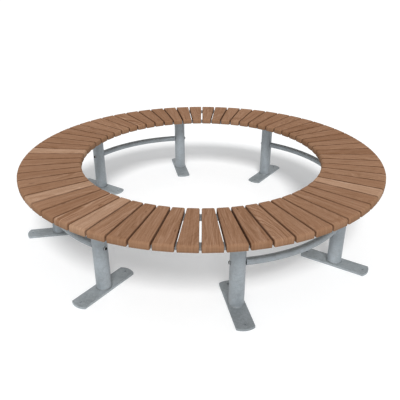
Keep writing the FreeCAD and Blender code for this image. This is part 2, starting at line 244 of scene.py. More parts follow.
def ring_tree():
    """Sets copies of one piece round the ring, and numbers each copy for its material."""
    tree = new_tree("set_round_the_ring", [
        ("Count", "NodeSocketInt", LEG_COUNT),
        ("First angle", "NodeSocketFloat", FIRST_LEG),
        ("Step", "NodeSocketFloat", LEG_PITCH),
        ("Seed", "NodeSocketInt", 1),
        ("Material", "NodeSocketMaterial", None),
    ])
    given = tree.nodes.new("NodeGroupInput").outputs
    place = add(tree, "GeometryNodeInputPosition").outputs[0]
    marked = add(tree, "GeometryNodeStoreNamedAttribute",
                 {"Geometry": given["Geometry"], "Name": "own_place", "Value": place},
                 data_type="FLOAT_VECTOR", domain="POINT").outputs[0]
    spots = add(tree, "GeometryNodePoints", {"Count": given["Count"]}).outputs[0]
    number = add(tree, "GeometryNodeInputIndex").outputs[0]
    angle = add(tree, "ShaderNodeMath", {0: number, 1: given["Step"], 2: given["First angle"]},
                operation="MULTIPLY_ADD").outputs[0]
    turn = add(tree, "ShaderNodeCombineXYZ", {"Z": angle}).outputs[0]
    turned = add(tree, "FunctionNodeEulerToRotation", {0: turn}).outputs[0]
    copies = add(tree, "GeometryNodeInstanceOnPoints",
                 {"Points": spots, "Instance": marked, "Rotation": turned}).outputs[0]
    chance = add(tree, "FunctionNodeRandomValue", {"ID": number, "Seed": given["Seed"]},
                 data_type="FLOAT")
    numbered = add(tree, "GeometryNodeStoreNamedAttribute",
                   {"Geometry": copies, "Name": "piece_number", "Value": number},
                   data_type="FLOAT", domain="INSTANCE").outputs[0]
    varied = add(tree, "GeometryNodeStoreNamedAttribute",
                 {"Geometry": numbered, "Name": "piece_chance", "Value": chance.outputs["Value"]},
                 data_type="FLOAT", domain="INSTANCE").outputs[0]
    real = add(tree, "GeometryNodeRealizeInstances", {"Geometry": varied}).outputs[0]
    finished = add(tree, "GeometryNodeSetMaterial",
                   {"Geometry": real, "Material": given["Material"]}).outputs[0]
    tree.links.new(finished, tree.nodes.new("NodeGroupOutput").inputs[0])
    return tree


def run_tree(pattern, tree, values, name):
    """Runs a tree on a pattern piece and returns the result as a plain piece."""
    modifier = pattern.modifiers.new("make", "NODES")
    modifier.node_group = tree
    for item in tree.interface.items_tree:
        if item.in_out == "INPUT" and item.name in values:
            modifier[item.identifier] = values[item.name]
    graph = bpy.context.evaluated_depsgraph_get()
    mesh = bpy.data.meshes.new_from_object(pattern.evaluated_get(graph), depsgraph=graph)
    mesh.name = name
    bpy.data.objects.remove(pattern)
    return placed(name, mesh)


RING_TREE = ring_tree()


def set_round(pattern, name, count, first, step, material, seed=1):
    """Copies of a pattern round the ring, as one piece; the pattern itself goes."""
    values = {"Count": count, "First angle": first, "Step": step, "Seed": seed, "Material": material}
    return run_tree(pattern, RING_TREE, values, name)


def hand_over(piece, slot, *nodes):
    """Fixes a finished piece to the bench and lets it stand for its CAD nodes."""
    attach(piece, "root")
    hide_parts(*nodes)


def numbered(name, count):
    """Names of CAD nodes that are counted from 1."""
    return [f"{name}_{k}" for k in range(1, count + 1)]


def piece_numbers(pieces):
    """Which of the repeated pieces each point belongs to."""
    number = np.zeros(len(pieces.data.vertices), np.float32)
    pieces.data.attributes["piece_number"].data.foreach_get("value", number)
    return number.astype(int)


def mark_points(pieces, name, values):
    """Stores a number or a vector for each point."""
    kind, field = ("FLOAT", "value") if values.ndim == 1 else ("FLOAT_VECTOR", "vector")
    data = pieces.data.attributes.new(name, kind, "POINT").data
    data.foreach_set(field, values.astype(np.float32).ravel())


def mark_pieces(pieces, name, values):
    """Stores a number or a vector for each of the repeated pieces."""
    mark_points(pieces, name, values[piece_numbers(pieces)])


# Material helpers
def new_material(name):
    material = bpy.data.materials.new(name)
    material.use_nodes = True
    tree = material.node_tree
    return material, tree, tree.nodes["Principled BSDF"]


def maths(tree, operation, *values, clamp=False):
    return add(tree, "ShaderNodeMath", dict(enumerate(values)), operation=operation,
               use_clamp=clamp).outputs[0]


def vectors(tree, operation, *values):
    node = add(tree, "ShaderNodeVectorMath", dict(enumerate(values)), operation=operation)
    return node.outputs["Value" if operation == "LENGTH" else "Vector"]


def noise(tree, vector, scale, detail=2.0, roughness=0.5, distortion=0.0):
    return add(tree, "ShaderNodeTexNoise", {
        "Vector": vector, "Scale": scale, "Detail": detail, "Roughness": roughness,
        "Distortion": distortion}).outputs["Fac"]


def grain_noise(tree, place, along, across, detail=2.0, roughness=0.5, distortion=0.0):
    """Noise drawn out along the plank; along and across say how often it changes in a metre."""
    stretched = vectors(tree, "MULTIPLY", place, (along, across, across))
    return noise(tree, stretched, 1.0, detail, roughness, distortion)


def mapped(tree, value, low, high, to_low=0.0, to_high=1.0, smooth=False):
    return add(tree, "ShaderNodeMapRange", {
        "Value": value, "From Min": low, "From Max": high, "To Min": to_low, "To Max": to_high},
        interpolation_type="SMOOTHSTEP" if smooth else "LINEAR").outputs[0]


def fading(tree, value, low, high, smooth=False):
    """1 up to the low value, falling to 0 at the high one."""
    return mapped(tree, value, low, high, 1.0, 0.0, smooth)


def ramp(tree, value, stops):
    node = add(tree, "ShaderNodeValToRGB", {"Fac": value})
    elements = node.color_ramp.elements
    while len(elements) < len(stops):
        elements.new(0.5)
    for element, (position, colour) in zip(elements, stops):
        element.position = position
        element.color = (*colour, 1.0)
    return node.outputs["Color"]


def mixed(tree, factor, first, second, blend="MIX"):
    """Colour between the first and the second, which are sockets or plain colours."""
    node = add(tree, "ShaderNodeMix", data_type="RGBA", blend_type=blend)
    first, second = ((*c, 1.0) if isinstance(c, tuple) else c for c in (first, second))
    fill(tree, node, {0: factor, 6: first, 7: second})
    return node.outputs[2]


def multiplied(tree, first, second):
    return mixed(tree, 1.0, first, second, blend="MULTIPLY")


def bumped(tree, height, distance, strength=1.0):
    return add(tree, "ShaderNodeBump", {
        "Height": height, "Distance": distance, "Strength": strength}).outputs[0]


def attribute(tree, name, output):
    return add(tree, "ShaderNodeAttribute", attribute_name=name).outputs[output]


def xyz_of(tree, vector):
    return add(tree, "ShaderNodeSeparateXYZ", {0: vector}).outputs


def grey(tree, value):
    """Colour with the same value in all three channels."""
    return add(tree, "ShaderNodeCombineColor", {0: value, 1: value, 2: value}).outputs[0]


def times(tree, first, *others):
    """Product of several values."""
    for other in others:
        first = maths(tree, "MULTIPLY", first, other)
    return first


# Timber, its grain from the darkest colour to the palest, and what tints it
TIMBER_COLOURS = [(0.00, (0.120, 0.053, 0.0241)), (0.30, (0.209, 0.1015, 0.0533)),
                  (0.55, (0.301, 0.162, 0.0944)), (1.00, (0.460, 0.280, 0.189))]
TIMBER_WARM = (0.304, 0.154, 0.085)
DARKEST_PLANK = (0.77, 0.73, 0.68)
PALEST_PLANK = (1.40, 1.56, 1.70)
SAPWOOD = (1.045, 1.09, 1.135)
PORE_BROWN = (0.085, 0.036, 0.016)
KNOT_BROWN = (0.105, 0.048, 0.024)
# Painted shade on the sides of the planks down in the gaps
GAP_SHADE_BROWN = (0.118, 0.046, 0.022)
# Painted shade along the edges of the planks at the left and right
EDGE_SHADE_BROWN = (0.066, 0.028, 0.013)
RUBBED_EDGE = (0.46, 0.27, 0.17)
BARE_TIMBER = [(0.0, (0.30, 0.22, 0.16)), (0.5, (0.46, 0.38, 0.31)), (1.0, (0.60, 0.52, 0.44))]
FADED_END = (0.975, 0.995, 0.99)
PALER_TOWARDS_RIM = (1.03, 1.03, 1.03)
PORE_STRENGTH, KNOT_STRENGTH = 0.40, 0.55
# The strength of the painted shade in the gaps, and of the rubbing on the arrises
GAP_SHADE_STRENGTH, RUB_STRENGTH = 0.26, 0.25

# How far a plank's grain is shifted from another's; the rings in a metre, how far they wander and how
# far a knot pushes them aside; how a knot is drawn out along the plank; and how strong the rings,
# bands, streaks and fibres are on the plainest and on the most figured plank
GRAIN_SHIFT = (41.0, 17.0, 9.0)
RING_COUNT = 165.0
RING_WANDER = 22 * MM
KNOT_PUSH = 14 * MM
KNOT_STRETCH = (0.35, 1.0, 0.0)
GRAIN_STRENGTHS = (0.10, 0.60), (0.30, 0.62), (0.78, 1.05), (0.60, 0.70)

# Where the log's middle lies beside a plank's middle line and above the ground, how it leans aside
# and down along the plank, and how figured the plain planks are
LOG_ASIDE = 50 * MM
LOG_HEIGHTS = (335 * MM, 405 * MM)
LOG_LEAN_ASIDE, LOG_LEAN_DOWN = 0.09, 0.16
PLAIN_FIGURES = (0.05, 0.35)
PLAIN_TONE, TONE_SPREAD, TONE_LIMITS = 0.37, 0.045, (0.25, 0.48)

# Planks are numbered anticlockwise from +X. These are paler or darker than their neighbours, more
# strongly figured, cut so that the rings draw an arch, or have a knot, given by its distance from the
# middle of the ring, its distance from the plank's middle line and its size, in mm.
PLANK_TONES = {31: 0.93, 38: 0.95, 42: 0.88, 58: 0.94, 12: 0.54, 13: 0.47, 24: 0.52, 25: 0.51,
               51: 0.53, 43: 0.51, 45: 0.44, 46: 0.44, 60: 0.59, 36: 0.58, 39: 0.48, 41: 0.53,
               62: 0.50, 63: 0.50, 52: 0.47, 49: 0.41, 55: 0.39, 28: 0.42, 30: 0.30, 10: 0.26, 19: 0.25,
               40: 0.28, 50: 0.31, 0: 0.19, 3: 0.17, 6: 0.14}
FIGURED_PLANKS = (6, 12, 22, 41)
ARCHED_PLANK = 51
ARCHED_LOG, ARCHED_LEAN = (-34 * MM, 403 * MM, 0.0), (-0.03, 0.2, 0.75)
KNOTS = {50: (744, -9, 4.5), 36: (988, 20, 7.5), 40: (940, -33, 5), 41: (838, 25, 5), 44: (796, 16, 4),
         46: (934, 29, 5), 57: (740, 25, 3.5), 63: (1010, -4, 4), 0: (923, -13, 5)}
# Painted shade lies along the edges of the planks at the left and right. It grows from nothing to
# its most between these two cosines of a plank's angle.
MOST_EDGE_SHADE = 0.60
EDGE_SHADE_FROM, EDGE_SHADE_FULL = 0.62, 0.90


def growth_rings(tree, place, split, level, local, chance):
    """Rings round the log's middle, which leans along the plank and so draws arches, how dark the
    knot is, and how figured the plank."""
    middle = xyz_of(tree, attribute(tree, "log_middle", "Vector"))
    lean = xyz_of(tree, attribute(tree, "log_lean", "Vector"))
    along = maths(tree, "SUBTRACT", split["X"], (SEAT_INNER + SEAT_OUTER) / 2)
    across, under = (
        maths(tree, "SUBTRACT", own, maths(tree, "MULTIPLY_ADD", along, lean[k], middle[k]))
        for own, k in ((split["Y"], "X"), (level, "Y")))
    from_middle = maths(tree, "SQRT", maths(tree, "ADD", maths(tree, "POWER", across, 2.0),
                                            maths(tree, "POWER", under, 2.0)))
    wander = maths(tree, "SUBTRACT", grain_noise(tree, local, 6.0, 16.0, 3.0, 0.55), 0.5)
    from_middle = maths(tree, "MULTIPLY_ADD", wander, RING_WANDER, from_middle)

    # A knot pushes the rings aside and is dark in its middle.
    knot = attribute(tree, "knot_place", "Vector")
    knot_size = maths(tree, "MAXIMUM", xyz_of(tree, knot)["Z"], 0.5 * MM)
    to_knot = vectors(tree, "MULTIPLY", vectors(tree, "SUBTRACT", place, knot), KNOT_STRETCH)
    knot_far = maths(tree, "DIVIDE", vectors(tree, "LENGTH", to_knot), knot_size)
    pushed = fading(tree, knot_far, 0.0, 3.2, smooth=True)
    from_middle = maths(tree, "MULTIPLY_ADD", pushed, KNOT_PUSH, from_middle)
    knot_core = fading(tree, knot_far, 0.45, 1.1, smooth=True)

    rings = add(tree, "ShaderNodeTexNoise", {
        "W": maths(tree, "ADD", from_middle, chance), "Scale": RING_COUNT, "Detail": 2.0,
        "Roughness": 0.55}, noise_dimensions="1D").outputs["Fac"]
    return mapped(tree, rings, 0.30, 0.70), knot_core, lean["Z"]


def shaded_and_rubbed_edges(tree, colour, split, drop, ends, local):
    """Painted shade darkens the sides down in the gaps and the edges of the planks at the left and
    right, and the top arrises are rubbed paler."""
    half_width = maths(tree, "MULTIPLY_ADD", split["X"], math.tan(PLANK_PITCH / 2), -PLANK_GAP / 2)
    from_side = maths(tree, "SUBTRACT", half_width, maths(tree, "ABSOLUTE", split["Y"]))
    # Painted shade on the sides down in the gaps between the planks
    gap_shaded = times(tree, fading(tree, from_side, 1 * MM, 4 * MM),
                   mapped(tree, drop, 3 * MM, 8 * MM, smooth=True), maths(tree, "SUBTRACT", 1.0, ends))
    colour = mixed(tree, times(tree, gap_shaded, GAP_SHADE_STRENGTH), colour, GAP_SHADE_BROWN)
    patchy = mapped(tree, grain_noise(tree, local, 12.0, 20.0), 0.35, 0.65, 0.5, 1.1)
    # Painted shade along the edges of the planks at the left and right
    edge_shaded = times(tree, fading(tree, from_side, 1.5 * MM, 4.5 * MM),
                   mapped(tree, drop, 0.8 * MM, 2.4 * MM), attribute(tree, "plank_edge_shade", "Fac"),
                   maths(tree, "MULTIPLY_ADD", ends, -0.6, 1.0), patchy)
    colour = mixed(tree, edge_shaded, colour, EDGE_SHADE_BROWN)
    patchy = mapped(tree, grain_noise(tree, local, 30.0, 60.0), 0.45, 0.70)
    rubbed = times(tree, fading(tree, from_side, 3 * MM, 9 * MM),
                   fading(tree, drop, 1 * MM, 4 * MM), patchy)
    return mixed(tree, times(tree, rubbed, RUB_STRENGTH), colour, RUBBED_EDGE)


def timber_material():
    """Oiled hardwood; each plank carries the line of its log and how strongly it is figured."""
    material, tree, shader = new_material("oiled_hardwood")
    place = attribute(tree, "own_place", "Vector")
    split = xyz_of(tree, place)
    chance = attribute(tree, "piece_chance", "Fac")

    # The grain of the top runs on down the rounded ends.
    inner_end = fading(tree, split["X"], SEAT_INNER + 2 * MM, SEAT_INNER + 12 * MM, smooth=True)
    outer_end = mapped(tree, split["X"], SEAT_OUTER - 12 * MM, SEAT_OUTER - 2 * MM, smooth=True)
    ends = maths(tree, "MAXIMUM", inner_end, outer_end, clamp=True)
    drop = maths(tree, "SUBTRACT", SEAT_TOP, split["Z"])
    level = maths(tree, "MULTIPLY_ADD", drop, ends, split["Z"])
    grain_place = add(tree, "ShaderNodeCombineXYZ", {
        "X": split["X"], "Y": split["Y"], "Z": level}).outputs[0]
    local = vectors(tree, "ADD", grain_place, vectors(tree, "MULTIPLY", chance, GRAIN_SHIFT))

    rings, knot_core, figure = growth_rings(tree, place, split, level, local, chance)
    bands = grain_noise(tree, local, 2.6, 62.0, 3.0, 0.6, 0.4)
    streaks = grain_noise(tree, local, 4.0, 170.0, 4.0, 0.62, 0.3)
    fibres = grain_noise(tree, local, 16.0, 640.0, 3.0, 0.6)
    broad = grain_noise(tree, local, 3.4, 13.0)
    pores = mapped(tree, grain_noise(tree, local, 55.0, 1100.0), 0.60, 0.68, smooth=True)

    # The grain fades on the end faces.
    grain = 0.52
    fade = mapped(tree, ends, 0.0, 1.0, 1.0, 0.45)
    for layer, strengths in zip((rings, bands, streaks, fibres), GRAIN_STRENGTHS):
        strength = times(tree, mapped(tree, figure, 0.0, 1.0, *strengths), fade)
        grain = maths(tree, "MULTIPLY_ADD", maths(tree, "SUBTRACT", layer, 0.5), strength, grain)
    colour = ramp(tree, grain, TIMBER_COLOURS)
    colour = mixed(tree, mapped(tree, broad, 0.3, 0.7, 0.0, 0.40), colour, TIMBER_WARM)
    tone = attribute(tree, "plank_tone", "Fac")
    colour = multiplied(tree, colour, mixed(tree, tone, DARKEST_PLANK, PALEST_PLANK))
    colour = mixed(tree, mapped(tree, tone, 0.55, 0.95), colour, multiplied(tree, colour, SAPWOOD))
    colour = mixed(tree, times(tree, pores, PORE_STRENGTH), colour, PORE_BROWN)
    colour = mixed(tree, times(tree, knot_core, KNOT_STRENGTH), colour, KNOT_BROWN)

    # The ends are flecked, and painted shade darkens them a little towards their lower edge.
    flecks = grain_noise(tree, place, 260.0, 260.0, 3.0, 0.6)
    # Painted shade towards the lower edge of the ends
    shaded = maths(tree, "MULTIPLY_ADD", mapped(tree, flecks, 0.35, 0.65), -0.06,
                   mapped(tree, drop, 20 * MM, 32 * MM, 1.03, 0.84, smooth=True))
    faded_and_shaded_end = vectors(tree, "MULTIPLY", FADED_END, shaded)
    colour = mixed(tree, ends, colour, multiplied(tree, colour, faded_and_shaded_end))

    # The tops grow a little paler towards the outer ends, and the underside isn't oiled.
    colour = shaded_and_rubbed_edges(tree, colour, split, drop, ends, local)
    near_rim = mapped(tree, split["X"], SEAT_OUTER - 100 * MM, SEAT_OUTER - 30 * MM, smooth=True)
    colour = mixed(tree, near_rim, colour, multiplied(tree, colour, PALER_TOWARDS_RIM))
    below = fading(tree, split["Z"], PLANK_BOTTOM, PLANK_BOTTOM + 3 * MM)
    colour = mixed(tree, below, colour, ramp(tree, grain, BARE_TIMBER))

    rough = maths(tree, "MULTIPLY_ADD", fibres, 0.22, 0.60)
    rough = maths(tree, "MULTIPLY_ADD", pores, 0.2, rough)
    relief = maths(tree, "MULTIPLY_ADD", streaks, 0.5, times(tree, fibres, 0.5))
    relief = maths(tree, "SUBTRACT", relief, times(tree, pores, 0.6))
    fill(tree, shader, {"Base Color": colour, "Roughness": rough, "Specular IOR Level": 0.02,
                        "Normal": bumped(tree, relief, 0.6 * MM, 0.7)})
    return material


def fallen_back(radius, depth):
    """How far a rounded edge has fallen away at a depth from the face it leaves."""
    if depth >= radius:
        return 0.0
    return radius - math.sqrt(radius ** 2 - (radius - depth) ** 2)


def plank_section(x, depth, inset):
    """Closed line across a plank at x, a depth in from its end, seen from outside the ring."""
    half = x * math.tan(PLANK_PITCH / 2) - PLANK_GAP / 2 / math.cos(PLANK_PITCH / 2)
    half -= fallen_back(PLANK_SIDE_ROUND, depth) + inset
    top = SEAT_TOP - fallen_back(PLANK_END_ROUND, depth) - inset
    bottom = PLANK_BOTTOM + fallen_back(PLANK_BOTTOM_ROUND, depth) + inset
    steps = 5
    corners = [(1, bottom, PLANK_BOTTOM_ROUND, -1), (1, top, PLANK_SIDE_ROUND, 0),
               (-1, top, PLANK_SIDE_ROUND, 1), (-1, bottom, PLANK_BOTTOM_ROUND, 2)]
    points = []
    for side, face, radius, quarter in corners:
        middle_y = side * (half - radius)
        middle_z = face - radius if face == top else face + radius
        arc = []
        for k in range(steps + 1):
            turn = (quarter + k / steps) * math.pi / 2
            arc.append((x, middle_y + radius * math.cos(turn), middle_z + radius * math.sin(turn)))
        first, last = quarter * math.pi / 2, (quarter + 1) * math.pi / 2
        before = (x, arc[0][1] + FLAT_EDGE * math.sin(first), arc[0][2] - FLAT_EDGE * math.cos(first))
        after = (x, arc[-1][1] - FLAT_EDGE * math.sin(last), arc[-1][2] + FLAT_EDGE * math.cos(last))
        points += [before] + arc + [after]
    return points


def plank_pattern():
    """One tapered plank on +X, its ends rounded over more than its sides, housed out for both rails."""
    depths = [(0.0, FLAT_EDGE)]
    depths += [(PLANK_END_ROUND * (1 - math.cos(turn)), 0.0) for turn in quarter_turn(10)]
    depths.append((PLANK_END_ROUND + FLAT_EDGE, 0.0))
    outer = SEAT_OUTER - PLANK_TRIM
    sections = [plank_section(SEAT_INNER + depth, depth, inset) for depth, inset in depths]
    sections += [plank_section(outer - depth, depth, inset) for depth, inset in reversed(depths)]
    plank = make_pattern("plank_pattern", loft(sections))
    for rail in (INNER_RAIL, OUTER_RAIL):
        plank = cut_housing(plank, rail)
    return plank


def cut_housing(plank, rail):
    """Cuts the slot that a rail lies in across the underside of a plank."""
    inner, outer, half = rail - HOUSING_WIDTH / 2, rail + HOUSING_WIDTH / 2, CUTTER_LENGTH / 2
    cutter = make_pattern("housing_cutter", loft([
        [(inner, -half, z), (outer, -half, z), (outer, half, z), (inner, half, z)]
        for z in (PLANK_BOTTOM - HOUSING_DEPTH, PLANK_BOTTOM + HOUSING_DEPTH)]))
    cut = plank.modifiers.new("housing", "BOOLEAN")
    cut.operation = "DIFFERENCE"
    cut.solver = "EXACT"
    cut.object = cutter
    graph = bpy.context.evaluated_depsgraph_get()
    mesh = bpy.data.meshes.new_from_object(plank.evaluated_get(graph), depsgraph=graph)
    mesh.shade_smooth()
    mesh.set_sharp_from_angle(angle=SHARP_EDGE)
    bpy.data.objects.remove(plank)
    bpy.data.objects.remove(cutter)
    return placed("plank_pattern", mesh)


def lay_seat():
    """All the planks, each with its own tone, painted edge shade, place in the log and, on some, a knot.
    """
    planks = set_round(plank_pattern(), "seat_planks", PLANK_COUNT, PLANK_PITCH / 2, PLANK_PITCH,
                       timber_material(), seed=4)
    rng = np.random.default_rng(11)
    tones = np.clip(rng.normal(PLAIN_TONE, TONE_SPREAD, PLANK_COUNT), *TONE_LIMITS)
    for plank, tone in PLANK_TONES.items():
        tones[plank] = tone
    mark_pieces(planks, "plank_tone", tones)
    ways = (np.arange(PLANK_COUNT) + 0.5) * PLANK_PITCH
    # How much painted shade lies along each plank's edges
    edge_shade = np.interp(np.abs(np.cos(ways)), (EDGE_SHADE_FROM, EDGE_SHADE_FULL), (0.0, MOST_EDGE_SHADE))
    mark_pieces(planks, "plank_edge_shade", edge_shade)

    middles = np.zeros((PLANK_COUNT, 3))
    middles[:, 0] = rng.uniform(-LOG_ASIDE, LOG_ASIDE, PLANK_COUNT)
    middles[:, 1] = rng.uniform(*LOG_HEIGHTS, PLANK_COUNT)
    leans = np.zeros((PLANK_COUNT, 3))
    leans[:, 0] = rng.uniform(-LOG_LEAN_ASIDE, LOG_LEAN_ASIDE, PLANK_COUNT)
    leans[:, 1] = rng.uniform(-LOG_LEAN_DOWN, LOG_LEAN_DOWN, PLANK_COUNT)
    leans[:, 2] = rng.uniform(*PLAIN_FIGURES, PLANK_COUNT)
    leans[list(FIGURED_PLANKS), 2] = 1.0
    middles[ARCHED_PLANK] = ARCHED_LOG
    leans[ARCHED_PLANK] = ARCHED_LEAN
    mark_pieces(planks, "log_middle", middles)
    mark_pieces(planks, "log_lean", leans)

    knots = np.zeros((PLANK_COUNT, 3))
    for plank, knot in KNOTS.items():
        knots[plank] = np.multiply(knot, MM)
    mark_pieces(planks, "knot_place", knots)
    hand_over(planks, "timber", *numbered("seat_planks", LEG_COUNT))


# Metals, each in its darkest and lightest colour
FRAME_ZINC = (0.286, 0.314, 0.330), (0.404, 0.451, 0.490)
# The rails' zinc is the frame's made darker, as painted shade for rails that lie under the seat
RAIL_ZINC_SHADED = (0.200, 0.205, 0.205), (0.282, 0.294, 0.305)
FOOT_ZINC = (0.212, 0.234, 0.243), (0.375, 0.412, 0.436)
# Weld zinc is dark; round the foot of each leg it also paints the contact shade where leg meets plate
WELD_ZINC = (0.15, 0.165, 0.17), (0.27, 0.295, 0.31)
STAINLESS = (0.35, 0.35, 0.34), (0.55, 0.55, 0.54)
BOLT_STEEL = (0.52, 0.53, 0.54), (0.68, 0.69, 0.70)
# Dark washers as painted shade round the bolt heads
WASHER_SHADE_DARK = (0.06, 0.065, 0.07), (0.13, 0.14, 0.145)
# Black plugs as painted shade in the seam where a brace meets a leg
PLUG_SHADE_BLACK = (0.015, 0.016, 0.017), (0.04, 0.042, 0.044)
# Black of the dome, and painted shade in the socket and the seam
BOLT_BLACK_AND_SHADE = (0.026, 0.026, 0.028)
BLOOM_TINT = (0.99, 1.0, 1.02)
# Painted light on the edges of the foot plates
PAINTED_EDGE_LIGHT = (1.2, 1.2, 1.2)
# How much duller or brighter the zinc is on the legs at two heights, and how much painted light and
# shade makes the foot plates paler or darker at the inner and the outer end
LEG_TONES = [(0.0, 0.0), (-0.12, -0.03), (-0.06, 0.02), (0.09, 0.01), (0.02, 0.0), (-0.02, 0.0),
             (-0.13, -0.04), (0.08, -0.12)]
LEG_TONE_HEIGHTS = (80 * MM, 150 * MM, 210 * MM, 270 * MM)
# Painted light and shade on each foot plate, at its inner and its outer end
FOOT_LIGHT_AND_SHADE = [(1.0, 1.0), (0.80, 1.01), (0.84, 0.95), (0.95, 1.08), (0.97, 0.93), (0.92, 0.97),
              (0.83, 0.72), (1.15, 0.90)]
FOOT_TONE_REACH = 100 * MM


def crystals(tree, place, scale, channel):
    """Patches of zinc crystal, each with its own value."""
    cells = add(tree, "ShaderNodeTexVoronoi", {"Vector": place, "Scale": scale}).outputs["Color"]
    return add(tree, "ShaderNodeSeparateColor", {0: cells}).outputs[channel]


def galvanised_material(name, zinc, spangle=60.0, roughness=0.46, speckle=0.12):
    """Dipped zinc: soft crystal patches over cloudy grey, with dull bloom."""
    material, tree, shader = new_material(name)
    place = add(tree, "ShaderNodeTexCoord").outputs["Object"]
    wobble = add(tree, "ShaderNodeTexNoise", {"Vector": place, "Scale": 40.0}).outputs["Color"]
    wobbly = vectors(tree, "MULTIPLY_ADD", wobble, (12 * MM, 12 * MM, 12 * MM), place)
    large = crystals(tree, wobbly, spangle, 0)
    small = crystals(tree, wobbly, spangle * 2.7, 1)
    clouds = noise(tree, place, 11.0, 4.0, 0.55)
    bloom = mapped(tree, noise(tree, place, 34.0, 4.0, 0.65, 0.6), 0.50, 0.68, smooth=True)
    specks = noise(tree, place, 430.0, 2.0, 0.6)

    value = times(tree, clouds, 0.50)
    for layer, strength in ((large, 0.16), (small, 0.14), (specks, speckle)):
        value = maths(tree, "MULTIPLY_ADD", layer, strength, value)
    dark, light = zinc
    middle = tuple((a + b) / 2 for a, b in zip(dark, light))
    colour = ramp(tree, mapped(tree, value, 0.28, 0.72), [(0.0, dark), (0.5, middle), (1.0, light)])
    dull = tuple(c * k for c, k in zip(middle, BLOOM_TINT))
    bloomed = mixed(tree, times(tree, bloom, 0.45), colour, dull)
    toned = vectors(tree, "MULTIPLY_ADD", bloomed, attribute(tree, "zinc_tone", "Vector"), bloomed)
    rough = maths(tree, "MULTIPLY_ADD", large, 0.12, roughness - 0.06)
    rough = maths(tree, "MULTIPLY_ADD", bloom, 0.14, rough)
    relief = maths(tree, "MULTIPLY_ADD", clouds, 0.6, times(tree, specks, 0.3))
    fill(tree, shader, {"Base Color": toned, "Roughness": rough, "Metallic": 0.25,
                        "Normal": bumped(tree, relief, 0.6 * MM, 0.5)})
    return material


def foot_plate_material(name, inner, outer):
    """The same zinc on a plate, its two ends darker or paler with painted shade and light, and painted
    light on its edges.
    """
    material = galvanised_material(name, FOOT_ZINC, spangle=80.0, roughness=0.58, speckle=0.30)
    tree = material.node_tree
    base = tree.nodes["Principled BSDF"].inputs["Base Color"]
    zinc = base.links[0].from_socket
    place = add(tree, "ShaderNodeTexCoord").outputs["Object"]
    out = vectors(tree, "LENGTH", vectors(tree, "MULTIPLY", place, (1.0, 1.0, 0.0)))
    # Painted light and shade towards the plate's two ends
    ends_light_and_shade = mapped(tree, out, LEG_CIRCLE - FOOT_TONE_REACH, LEG_CIRCLE + FOOT_TONE_REACH, inner, outer)
    lit_and_shaded = multiplied(tree, zinc, grey(tree, ends_light_and_shade))
    height = xyz_of(tree, place)["Z"]
    # Painted light on the plate's edges
    lit_edge = fading(tree, height, LEG_FOOT - 1.2 * MM, LEG_FOOT - 0.4 * MM)
    tree.links.new(mixed(tree, lit_edge, lit_and_shaded, multiplied(tree, lit_and_shaded, PAINTED_EDGE_LIGHT)), base)
    return material


def bolt_material():
    """Flanged bolts: bright steel, blackened over the dome, with painted shade in the socket and along
    the seam round the dome.
    """
    material, tree, shader = new_material("bolt_head")
    place = attribute(tree, "own_place", "Vector")
    out = attribute(tree, "from_axis", "Fac")
    # Blackened dome, with painted shade in its socket
    dome = fading(tree, out, DOME_RADIUS - 0.9 * MM, DOME_RADIUS + 0.3 * MM)
    # Painted shade along the seam where the dome meets the flange
    seam = times(tree, mapped(tree, out, DOME_RADIUS - 1.2 * MM, DOME_RADIUS),
                 fading(tree, out, DOME_RADIUS, DOME_RADIUS + 0.6 * MM))
    black_and_shade = maths(tree, "MAXIMUM", dome, times(tree, seam, 0.3))
    patches = noise(tree, place, 420.0, 3.0, 0.6)
    steel = ramp(tree, mapped(tree, patches, 0.35, 0.65), list(enumerate(BOLT_STEEL)))
    fill(tree, shader, {
        "Base Color": mixed(tree, black_and_shade, steel, BOLT_BLACK_AND_SHADE), "Metallic": 0.75,
        "Roughness": maths(tree, "MULTIPLY_ADD", black_and_shade, 0.35, 0.36),
        "Normal": bumped(tree, patches, 0.2 * MM, 0.4)})
    return material


def fastener_material(name, steel, metallic, roughness):
    """Plain steel, or a dark colour that paints shade, with rubbed patches and a little grit."""
    material, tree, shader = new_material(name)
    place = add(tree, "ShaderNodeTexCoord").outputs["Object"]
    patches = noise(tree, place, 160.0, 4.0, 0.6)
    grit = noise(tree, place, 900.0, 2.0)
    fill(tree, shader, {
        "Base Color": ramp(tree, mapped(tree, patches, 0.35, 0.7), list(enumerate(steel))),
        "Roughness": maths(tree, "MULTIPLY_ADD", grit, 0.25, roughness - 0.1),
        "Metallic": metallic, "Normal": bumped(tree, grit, 0.2 * MM, 0.4)})
    return material


def bar_section(middle):
    """Section of a rail's flat bar with eased edges, as (radius, height)."""
    inner, outer = middle - BAR_WIDTH / 2, middle + BAR_WIDTH / 2
    low, high, ease = RAIL_BOTTOM, RAIL_BOTTOM + BAR_THICKNESS, BAR_EASE
    return [(inner + ease, low), (outer - ease, low), (outer, low + ease), (outer, high - ease),
            (outer - ease, high), (inner + ease, high), (inner, high - ease), (inner, low + ease)]


def rail_pattern(middle):
    """One quarter of a rail, starting at the first seam and bent round the tree."""
    play = SEGMENT_JOINT / 2 / middle
    start, end = play, 2 * math.pi / SEGMENT_COUNT - play
    steps = 48
    sections = []
    for k in range(steps + 1):
        angle = start + (end - start) * k / steps
        sections.append([on_ring(r, angle, z) for r, z in bar_section(middle)])
    return make_pattern("rail_pattern", loft(sections))


def lay_rails(steel):
    step = 2 * math.pi / SEGMENT_COUNT
    for name, middle in (("inner_rail", INNER_RAIL), ("outer_rail", OUTER_RAIL)):
        rails = set_round(rail_pattern(middle), name + "s", SEGMENT_COUNT, FIRST_SEAM, step, steel)
        hand_over(rails, "galvanised_steel", *numbered(name, SEGMENT_COUNT))


